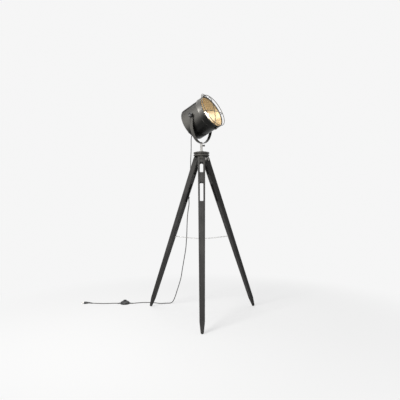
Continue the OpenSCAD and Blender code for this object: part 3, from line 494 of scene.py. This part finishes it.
def drum_enamel(name, colour, rubbed, top):
    """Gunmetal enamel brushed round the drum. Its rims are rubbed and also painted lighter as a
    highlight; it is rougher on top, with painted shade darker there and near black below.
    """
    paint = Finish(name, Metallic=0.25, Specular_IOR_Level=0.22)
    along, _, up = paint.axes(paint.places())
    brushing = paint.grain(60, 3, (20, 1, 1))
    patches = paint.grain(11, 5)
    specks = paint.grain(520, 3).ramp(0.66, 0.76)
    # The rims are painted lighter, as rubbed wear and as a painted highlight on the bezel's bead
    # and front edge.
    back_rim_wear_and_highlight = (along - BEZEL_BACK).size().ramp(5 * MM, 1 * MM)
    front_rim_wear_and_highlight = (along - FRONT_X).size().ramp(4 * MM, 0.5 * MM)
    worn = (back_rim_wear_and_highlight + front_rim_wear_and_highlight) * paint.grain(70, 4).ramp(0.35, 0.7)
    # Painted shade: the top is painted darker, and the underside near black, more so towards the
    # front.
    top_painted_shade = (up + patches * 0.03).ramp(10 * MM, 75 * MM)
    painted_shade_below = (up - along * 0.12 + patches * 0.02).ramp(-10 * MM, -64 * MM)
    side = paint.mix(patches.ramp(0.3, 0.75) * 0.4, colour, rubbed)
    tone = paint.mix(painted_shade_below, side, DRUM_SHADE)
    paint.set(
        Base_Color=paint.mix(worn * 0.6 + specks * 0.2, paint.mix(top_painted_shade, tone, top), rubbed),
        Roughness=brushing * 0.08 + patches * 0.10 + top_painted_shade * 0.22 + 0.22,
        Normal=paint.bump(brushing + patches * 0.8, 0.06, 0.0005),
    )
    return paint.material


DRUM_ENAMEL = drum_enamel("drum_enamel", DRUM_GREY, DRUM_RUBBED_AND_HIGHLIT, DRUM_TOP_PAINTED_SHADE)
wall = 1.5 * MM
shell_front = 80.9 * MM
flange_r = 88 * MM
shoulder = (DRUM_R - SHOULDER_R, BACK_X + SHOULDER_R)
drum_outline = [(DRUM_R, shell_front), (DRUM_R, 40 * MM), (DRUM_R, 0), (DRUM_R, -40 * MM)]
drum_outline += bend(*shoulder, SHOULDER_R, 0, -90)
drum_outline += [(flange_r, BACK_X), (flange_r, BACK_X + wall)]
drum_outline += bend(*shoulder, SHOULDER_R - wall, -90, 0)
drum_outline += [(DRUM_R - wall, shell_front)]
drum = spun("drum_body", drum_outline, 128)
rounded_shading(drum)
coat(drum, DRUM_ENAMEL)
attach(drum, "lamp_head")
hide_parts("drum_shell")

# The seam's lap lies along the drum's near side
SEAM_AT = math.radians(42)
seam_rings = []
for x, lift in ((-74, 0.2), (-73, 0.95), (44, 0.95), (45, 0.2)):
    across = [SEAM_AT - 0.058, SEAM_AT - 0.052, SEAM_AT + 0.052, SEAM_AT + 0.058]
    outer = [(DRUM_R + h * MM, a) for h, a in zip((0.1, lift, lift, 0.1), across)]
    inner = [(DRUM_R - 0.3 * MM, a) for a in reversed(across)]
    seam_rings.append([(x * MM, -r * math.cos(a), r * math.sin(a)) for r, a in outer + inner])
seam = skinned("drum_seam", seam_rings)
outward(seam)
seam.matrix_world = DRUM_PLACE
seam_dark = Finish(
    "seam_shadow", Base_Color=SEAM_BLACK, Roughness=0.6, Specular_IOR_Level=0.05
)
coat(seam, seam_dark.material)
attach(seam, "lamp_head")

# The bezel's outline: its bead, its band, its rounded front edge and the lip that turns in
bezel_outline = [(BEZEL_IN, BEZEL_BACK), (BEZEL_OUT + 1.0 * MM, BEZEL_BACK)]
bezel_outline += bend(BEZEL_OUT - 0.2 * MM, BEZEL_BACK + 1.5 * MM, 1.5 * MM, -60, 60, 4)
bezel_outline += [(BEZEL_OUT, BEZEL_BACK + 4 * MM), (BEZEL_OUT, FRONT_X - EDGE_R)]
bezel_outline += bend(BEZEL_OUT - EDGE_R, FRONT_X - EDGE_R, EDGE_R, 0, 90, 5)
bezel_outline += [(LIP_R, FRONT_X)]
bezel_outline += bend(LIP_R, FRONT_X - 1 * MM, 1 * MM, 90, 180, 3)
bezel_outline += [(107 * MM, FRONT_X - 2.3 * MM), (BEZEL_IN, FRONT_X - 2.3 * MM)]
BEZEL_ENAMEL = drum_enamel("bezel_enamel", BEZEL_GREY, BEZEL_RUBBED_AND_HIGHLIT, BEZEL_TOP_PAINTED_SHADE)
bezel_ring = spun("bezel_band", bezel_outline, 128)
rounded_shading(bezel_ring)
coat(bezel_ring, BEZEL_ENAMEL)
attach(bezel_ring, "lamp_head")
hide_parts("bezel")

# The catch at the bezel's foot is a folded tab that the guard's ring clips over
tab = [(-5.4, -0.6), (-6, 0), (-6, 1.8), (-5.4, 2.4), (5.4, 2.4), (6, 1.8), (6, 0), (5.4, -0.6)]
tab_rings = []
for x in (-8, -7.4, 7.9, 8.5):
    tab_rings.append([(FRONT_X + x * MM, y * MM, -BEZEL_OUT - z * MM) for y, z in tab])
catch = skinned("bezel_catch", tab_rings)
outward(catch)
rounded_shading(catch)
catch.matrix_world = DRUM_PLACE
coat(catch, BEZEL_ENAMEL)
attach(catch, "lamp_head")
coat(nodes["back_cover"], DRUM_ENAMEL)

# ---- Reflector and bulb ----
# A spun aluminium bowl in a warm gold finish, lit by a frosted bulb in a white porcelain holder.
# The bowl also carries painted light: it glows by itself, hottest deep in a band across its middle,
# and its gold is painted lighter in that band and darker outside it.

BOWL_BACK = -22.5 * MM
BOWL_FRONT = 82.5 * MM
BOWL_HOLE = 21 * MM
BOWL_RIM = 106 * MM
BOWL_FLANGE = 108.2 * MM
BOWL_STEPS = 24
BULB_R = 30 * MM
BULB_X = 26.5 * MM
GOLD = (0.68, 0.52, 0.30)
GOLD_PAINTED_SHADE = (0.34, 0.25, 0.13)
GLOW_HOT = (1.0, 0.93, 0.78)
GLOW_WARM = (0.70, 0.53, 0.29)
GLOW_DIM = (0.16, 0.105, 0.05)

bowl_outline = []
for k in range(BOWL_STEPS + 1):
    r = BOWL_HOLE + (BOWL_RIM - BOWL_HOLE) * k / BOWL_STEPS
    rise = (r * r - BOWL_HOLE**2) / (BOWL_RIM**2 - BOWL_HOLE**2)
    bowl_outline.append((r, BOWL_BACK + (BOWL_FRONT - BOWL_BACK) * rise))
bowl_outline += [(BOWL_FLANGE, BOWL_FRONT), (BOWL_FLANGE, BOWL_FRONT - 1.2 * MM)]
bowl_outline += [(r, x - 1.6 * MM) for r, x in reversed(bowl_outline[: BOWL_STEPS + 1])]
bowl = spun("reflector_bowl", bowl_outline, 96)
rounded_shading(bowl)
gold = Finish("gold_with_painted_glow", Metallic=0.55)
depth, _, up = gold.axes(gold.places())
painted_light_band = (up - 3 * MM).size().ramp(52 * MM, 10 * MM)
painted_glow_depth = depth.ramp(75 * MM, 0 * MM)
spin = gold.grain(45, 3, (14, 1, 1))
clouds = gold.grain(16, 4)
# Painted light and shade: lighter gold in a band across the middle and darker gold above and below
# it; the bowl glows by itself, hottest at its back in that band.
gold.set(
    Base_Color=gold.mix(painted_light_band * 0.8 + clouds * 0.2, GOLD_PAINTED_SHADE, GOLD),
    Roughness=clouds * 0.06 + spin * 0.05 + 0.30,
    Normal=gold.bump(spin, 0.03, 0.0004),
    Emission_Color=gold.mix(painted_glow_depth * painted_light_band, gold.mix(painted_light_band, GLOW_DIM, GLOW_WARM), GLOW_HOT),
    Emission_Strength=0.75,
)
coat(bowl, gold.material)
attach(bowl, "lamp_head")
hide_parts("reflector")

bulb_outline = [(0, BULB_X + BULB_R)]
for degrees in range(8, 146, 8):
    a = math.radians(degrees)
    bulb_outline.append((BULB_R * math.sin(a), BULB_X + BULB_R * math.cos(a)))
bulb_outline += [(r * MM, x * MM) for r, x in ((15.5, -2), (13.2, -11), (12.6, -18.2), (0, -18.2))]
bulb = spun("bulb_envelope", bulb_outline, 48, closed=False)
rounded_shading(bulb, 60)
frosted = Finish("lit_bulb", Roughness=0.25, Emission_Strength=5.0)
frost = frosted.grain(300, 2)
frosted.set(
    Base_Color=frosted.mix(frost, (0.95, 0.93, 0.88), (0.90, 0.87, 0.80)),
    Emission_Color=frosted.mix(frost * 0.3, (1.0, 0.93, 0.80), (1.0, 0.88, 0.70)),
)
coat(bulb, frosted.material)
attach(bulb, "lamp_head")
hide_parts("bulb_glass")
coat(nodes["lamp_holder"], painted("porcelain", (0.78, 0.76, 0.70), (0.70, 0.67, 0.60), 0.25))
coat(nodes["bulb_cap"], plated("cap_brass", (0.60, 0.47, 0.22), (0.45, 0.34, 0.16), 0.35))

# ---- Wire guard ----
# Dull plated wire: a ring on the bezel, a ring ahead of it, and two crossing bows, welded together.
# It hangs in a rolled strip on the bezel and can be swung up; a loop on top is its handle.

WIRE_R = 2.25 * MM
GUARD_R = 109 * MM
GUARD_FLARE = 4 * MM
FRONT_RING_R = GUARD_R + GUARD_FLARE
BOW_WIRE_R = WIRE_R - 0.2 * MM
BASE_RING_X = FRONT_X + WIRE_R + 0.8 * MM
FRONT_RING_X = FRONT_X + 19 * MM
BOW_RISE = 11 * MM
HINGE_TURN = 12
HINGE_Z = BEZEL_OUT + WIRE_R + 1.8 * MM
LOOP_R = 39.4 * MM
LOOP_RISE = 14 * MM
LOOP_MID = HINGE_Z + LOOP_RISE - LOOP_R
GUARD_LIGHT = (0.12, 0.115, 0.10)
GUARD_DARK = (0.07, 0.067, 0.06)


def wire(name, points, radius, sides=12, closed=False):
    """Round wire or cord along points, of one radius or one for each, that doesn't twist."""
    line = [Vector(p) for p in points]
    count = len(line)
    rings = []
    side = None
    for i, at in enumerate(line):
        before = line[(i - 1) % count] if closed or i else at
        after = line[(i + 1) % count] if closed or i < count - 1 else at
        ahead = (after - before).normalized()
        if side is None:
            side = ahead.orthogonal().normalized()
        side = (side - ahead * side.dot(ahead)).normalized()
        rise = ahead.cross(side)
        turns = [2 * math.pi * k / sides for k in range(sides)]
        here = radius[i] if isinstance(radius, list) else radius
        rings.append([at + (side * math.cos(a) + rise * math.sin(a)) * here for a in turns])
    if closed:
        rings.append(rings[0])
    piece = skinned(name, rings, caps=not closed)
    outward(piece)
    piece.data.shade_smooth()
    return piece


def turned_about_x(points, degrees):
    """Points turned about the drum's axis."""
    spin = Matrix.Rotation(math.radians(degrees), 4, "X")
    return [spin @ Vector(p) for p in points]


def hoop(radius, x):
    """A circle of points about the drum's axis."""
    turns = [2 * math.pi * k / 96 for k in range(96)]
    return [(x, radius * math.cos(a), radius * math.sin(a)) for a in turns]


GUARD_WIRE = plated("guard_plate", GUARD_LIGHT, GUARD_DARK, 0.36)
wires = [
    ("guard_base_ring", hoop(GUARD_R, BASE_RING_X), WIRE_R, True),
    ("guard_front_ring", hoop(FRONT_RING_R, FRONT_RING_X), WIRE_R, True),
]
# Each bow's turn about the axis, its distance from the axis, and how far ahead it crosses
BOWS = (
    ("guard_level_bow", 5, -12 * MM, -1.2 * MM),
    ("guard_upright_bow", 71, 10 * MM, 1.2 * MM),
)
for name, turn, off, shift in BOWS:
    half = math.sqrt(FRONT_RING_R**2 - off**2)
    bow_r = (half**2 + BOW_RISE**2) / (2 * BOW_RISE)
    reach = math.asin(half / bow_r)
    middle = FRONT_RING_X + BOW_RISE - bow_r + shift
    line = []
    for share in (0, 0.4, 0.8):
        r = GUARD_R + GUARD_FLARE * share
        x = BASE_RING_X + (FRONT_RING_X - BASE_RING_X) * share
        line.append((x, -r * half / FRONT_RING_R, r * off / FRONT_RING_R))
    for k in range(1, 32):
        a = -reach + 2 * reach * k / 32
        line.append((middle + bow_r * math.cos(a), bow_r * math.sin(a), off))
    line += [(x, -y, z) for x, y, z in reversed(line[:3])]
    wires.append((name, turned_about_x(line, turn), BOW_WIRE_R, False))
loop_foot = (GUARD_R**2 - LOOP_R**2 + LOOP_MID**2) / (2 * LOOP_MID)
sweep = math.acos((loop_foot - LOOP_MID) / LOOP_R)
loop = []
for k in range(25):
    a = -sweep + 2 * sweep * k / 24
    loop.append((BASE_RING_X, LOOP_R * math.sin(a), LOOP_MID + LOOP_R * math.cos(a)))
wires.append(("guard_loop", turned_about_x(loop, HINGE_TURN), BOW_WIRE_R, False))
bar_half = math.sqrt(LOOP_R**2 - (HINGE_Z - LOOP_MID) ** 2)
bar = [(BASE_RING_X, bar_half * share, HINGE_Z) for share in (-1, -0.5, 0, 0.5, 1)]
wires.append(("guard_hinge_bar", turned_about_x(bar, HINGE_TURN), WIRE_R, False))
for name, line, radius, closed in wires:
    piece = wire(name, line, radius, closed=closed)
    piece.matrix_world = DRUM_PLACE
    coat(piece, GUARD_WIRE)
    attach(piece, "guard")
    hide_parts("wire_guard")
coat(nodes["guard_hinge"], BLACKENED)

# ---- Cord ----
# A smooth dark grey mains cord of 6 mm leaves the back cover, hangs behind the drum, is clipped to
# the left leg and follows it down. It runs over the floor to a round foot switch and on to a plug.
# The routes are in millimetres from the post's axis and the floor.

CORD_R = 3 * MM
CORD_GREY = (0.060, 0.060, 0.060)
CORD_DUST = (0.115, 0.113, 0.110)
CURVE_STEPS = 4
HEAD_ROUTE = [
    (-49, 54, 1211), (-56, 58.6, 1207), (-62, 62.6, 1202.5), (-66.5, 65.5, 1195),
    (-69, 67, 1185), (-70, 67.5, 1172), (-70, 67.5, 1150), (-70, 67.5, 1130),
]
YOKE_ROUTE = [(-70, 67.5, 1129.85), (-70.5, 68, 1100), (-72.5, 69, 1055), (-74, 70, 1020)]
DROP_ROUTE = [
    (-74, 70, 1019.85), (-75, 71.5, 984), (-76, 73, 950), (-77, 75, 920), (-78, 77, 890),
    (-80.5, 79.5, 850), (-84, 81, 815), (-87, 81, 790), (-87.5, 81, 776),
]
FLOOR_ROUTE = [
    (-87.5, 81, 776), (-87.5, 81, 762), (-87, 81, 730), (-93, 84, 690), (-98.5, 90, 643),
    (-101.5, 98, 587), (-104, 110, 524), (-107, 120, 482), (-113, 136, 417),
    (-127, 160, 337), (-140, 183, 265), (-149, 202, 212), (-163, 222, 160),
    (-184, 250, 95), (-196, 265, 58), (-210, 280, 24), (-222, 286, 9), (-236, 288, 3),
    (-260, 285, 3), (-290, 280, 3), (-315, 281, 3), (-345, 296, 3), (-375, 305, 3),
    (-410, 308, 3), (-445, 305, 3), (-480, 295, 3), (-505, 286, 3), (-520, 283, 3.6),
    (-532, 282, 5),
]
FLOOR_TOUCH = 17
PLUG_ROUTE = [
    (-600, 282, 5), (-612, 283, 3.6), (-630, 287, 3), (-655, 287, 3), (-685, 283, 3),
    (-720, 281, 3), (-755, 284, 3), (-790, 289, 3), (-815, 290, 4.5), (-832, 290, 7),
]


def smoothed(route):
    """The route in metres, in the part's frame, with a smooth curve through its points."""
    p = [Vector((x * MM, y * MM + POST_Y, z * MM)) for x, y, z in route]
    line = []
    for i in range(len(p) - 1):
        a, b, c, d = p[max(i - 1, 0)], p[i], p[i + 1], p[min(i + 2, len(p) - 1)]
        for k in range(CURVE_STEPS):
            t = k / CURVE_STEPS
            square, cube = 2 * a - 5 * b + 4 * c - d, 3 * b - a - 3 * c + d
            line.append(0.5 * (2 * b + (c - a) * t + square * t**2 + cube * t**3))
    return line + [p[-1]]


def length_of(line):
    return sum((b - a).length for a, b in zip(line, line[1:]))


cord_sheath = Finish("cord_sheath", Roughness=0.5)
dust = cord_sheath.grain(60, 4)
cord_sheath.set(
    Base_Color=cord_sheath.mix(dust, CORD_GREY, CORD_DUST),
    Roughness=dust * 0.2 + 0.42,
    Normal=cord_sheath.bump(cord_sheath.grain(700, 2), 0.1, 0.0003),
)
stretches = (
    ("head_cord", HEAD_ROUTE, "cord_head", ("lamp_head", "yoke"), "hanging"),
    ("yoke_cord", YOKE_ROUTE, "cord_yoke", ("yoke", "hub"), "hanging"),
    ("drop_cord", DROP_ROUTE, "cord_drop", ("hub", "left_leg"), "hanging"),
    ("floor_cord", FLOOR_ROUTE, "cord_floor", ("left_leg", "hub"), "loose"),
    ("plug_cord", PLUG_ROUTE, "cord_plug_end", None, "loose"),
)
lines = {}
for name, route, node, bodies, lay in stretches:
    line = smoothed(route)
    lines[name] = line
    piece = wire(name, line, CORD_R, 12)
    coat(piece, cord_sheath.material)
    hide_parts(node)
    if bodies:
        landing = line[CURVE_STEPS * FLOOR_TOUCH] if name == "floor_cord" else line[-1]
        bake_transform(piece)
    else:
        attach(piece, "hub")
    length_of(line)
    "plug" if name == "plug_cord" else "object"


def ribbed_sleeve(name, line, long, wide, slim, slot, body):
    """A moulded strain relief round the start of a line: six ribs, in a taper from wide to slim."""
    stops, radii = [], []
    for k in range(25):
        at = long * k / 24
        along = 0
        for a, b in zip(line, line[1:]):
            step = (b - a).length
            if along + step >= at:
                stops.append(a.lerp(b, (at - along) / step))
                break
            along += step
        taper = wide + (slim - wide) * at / long
        radii.append(taper if k % 4 in (0, 1) else max(taper - 0.9 * MM, slim - 0.5 * MM))
    sleeve = wire(name, stops, radii, 20)
    rounded_shading(sleeve, 30)
    coat(sleeve, knob_plastic.material)
    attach(sleeve, body)
    return sleeve


GLAND_Y, GLAND_Z = 18 * MM, -55 * MM
gland_stops = (-92.5, -97, -102, -107, -114.5)
gland_line = [DRUM_PLACE @ Vector((x * MM, GLAND_Y, GLAND_Z)) for x in gland_stops]
gland_sizes = (22 * MM, 8.2 * MM, 4.6 * MM)
gland = ribbed_sleeve("cord_relief", gland_line, *gland_sizes, "knob_plastic", "lamp_head")
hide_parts("cord_gland")
switch_sizes = (22 * MM, 4.7 * MM, 3.6 * MM)
plug_sizes = (26 * MM, 5.6 * MM, 3.7 * MM)
for name, line, sleeve_sizes in (
    ("switch_relief_in", lines["floor_cord"][::-1], switch_sizes),
    ("switch_relief_out", lines["plug_cord"], switch_sizes),
    ("plug_relief", lines["plug_cord"][::-1], plug_sizes),
):
    ribbed_sleeve(name, line, *sleeve_sizes, "switch_plastic", "hub")
for name in ("switch_case", "switch_base", "switch_button", "plug_body"):
    coat(nodes[name], knob_plastic.material)
coat(nodes["plug_pins"], NICKEL)

# ---- Room ----
# A plain pale floor and a white room without walls, soft daylight from the upper left, and the
# photograph's camera.

FLOOR_GREY = (0.16, 0.16, 0.16)
FLOOR_SEEN = (0.80, 0.80, 0.80)
ROOM_WHITE = (0.92, 0.92, 0.92, 1)
DAYLIGHT = (0.95, 0.97, 1.0, 1)
SHADOW_SHARE = 0.30


def camera_sees(tree):
    """1 for what the camera sees, straight, in a gloss or through glass, and 0 for soft light."""
    paths = tree.nodes.new("ShaderNodeLightPath")
    seen = paths.outputs["Is Camera Ray"]
    for kind in ("Is Glossy Ray", "Is Transmission Ray"):
        either = tree.nodes.new("ShaderNodeMath")
        either.operation = "MAXIMUM"
        tree.links.new(seen, either.inputs[0])
        tree.links.new(paths.outputs[kind], either.inputs[1])
        seen = either.outputs[0]
    return seen


def floor_finish():
    """A surface that the camera sees nearly white, and that keeps some of the object's shadow."""
    pale = Finish("pale_floor", Roughness=1.0, Specular_IOR_Level=0.0)
    tree = pale.tree
    seen = Link(pale, camera_sees(tree))
    across, back, _ = pale.axes(pale.places())
    far = (across * across + back * back).ramp(0.3, 3.0)
    pale.set(Base_Color=pale.mix(seen, FLOOR_GREY, FLOOR_SEEN))
    glow = tree.nodes.new("ShaderNodeEmission")
    glow.inputs["Color"].default_value = ROOM_WHITE
    both = tree.nodes.new("ShaderNodeMixShader")
    pale.join(seen * (far * SHADOW_SHARE + (1 - SHADOW_SHARE)), both.inputs[0])
    tree.links.new(pale.shader.outputs[0], both.inputs[1])
    tree.links.new(glow.outputs[0], both.inputs[2])
    tree.links.new(both.outputs[0], tree.nodes["Material Output"].inputs["Surface"])
    return pale.material


bpy.ops.mesh.primitive_plane_add(size=60, location=(0, 0, 0))
floor = bpy.context.object
floor.name = "floor"
coat(floor, floor_finish())

world = bpy.data.worlds.new("daylight")
bpy.context.scene.world = world
world.use_nodes = True
sky = world.node_tree
backdrop = sky.nodes.new("ShaderNodeBackground")
backdrop.inputs["Color"].default_value = ROOM_WHITE
daylight = sky.nodes["Background"]
daylight.inputs["Color"].default_value = DAYLIGHT
daylight.inputs["Strength"].default_value = 0.20
either = sky.nodes.new("ShaderNodeMixShader")
sky.links.new(camera_sees(sky), either.inputs[0])
sky.links.new(daylight.outputs[0], either.inputs[1])
sky.links.new(backdrop.outputs[0], either.inputs[2])
sky.links.new(either.outputs[0], sky.nodes["World Output"].inputs["Surface"])


def lamp(name, place, towards, width, watts, colour):
    """A square lamp that faces a point."""
    light = bpy.data.lights.new(name, "AREA")
    light.size = width
    light.energy = watts
    light.color = colour
    thing = bpy.data.objects.new(name, light)
    bpy.context.collection.objects.link(thing)
    thing.location = place
    thing.rotation_euler = (Vector(towards) - Vector(place)).to_track_quat("-Z", "Y").to_euler()


lamp("window", (-1.6, -1.8, 2.7), (0, 0.1, 1.0), 1.2, 112, (1, 0.99, 0.97))
lamp("fill", (2.8, -2.2, 1.6), (0, 0.1, 0.8), 2.0, 4, (1, 0.98, 0.95))
lamp("overhead", (-0.3, 0.6, 3.4), (0, 0.1, 0.8), 1.6, 40, (1, 1, 1))

EYE = (0, -2822 * MM + POST_Y, 760 * MM)
LENS = 38.06
TURN_LEFT = 0.0039
LEAN = -0.0045
camera = bpy.data.objects.new("camera", bpy.data.cameras.new("camera"))
bpy.context.collection.objects.link(camera)
camera.data.sensor_width = 36
camera.data.lens = LENS
camera.matrix_world = (
    Matrix.Translation(EYE)
    @ Matrix.Rotation(TURN_LEFT, 4, "Z")
    @ Matrix.Rotation(math.pi / 2, 4, "X")
    @ Matrix.Rotation(LEAN, 4, "Z")
)
bpy.context.scene.camera = camera
bpy.context.scene.view_settings.view_transform = "Standard"
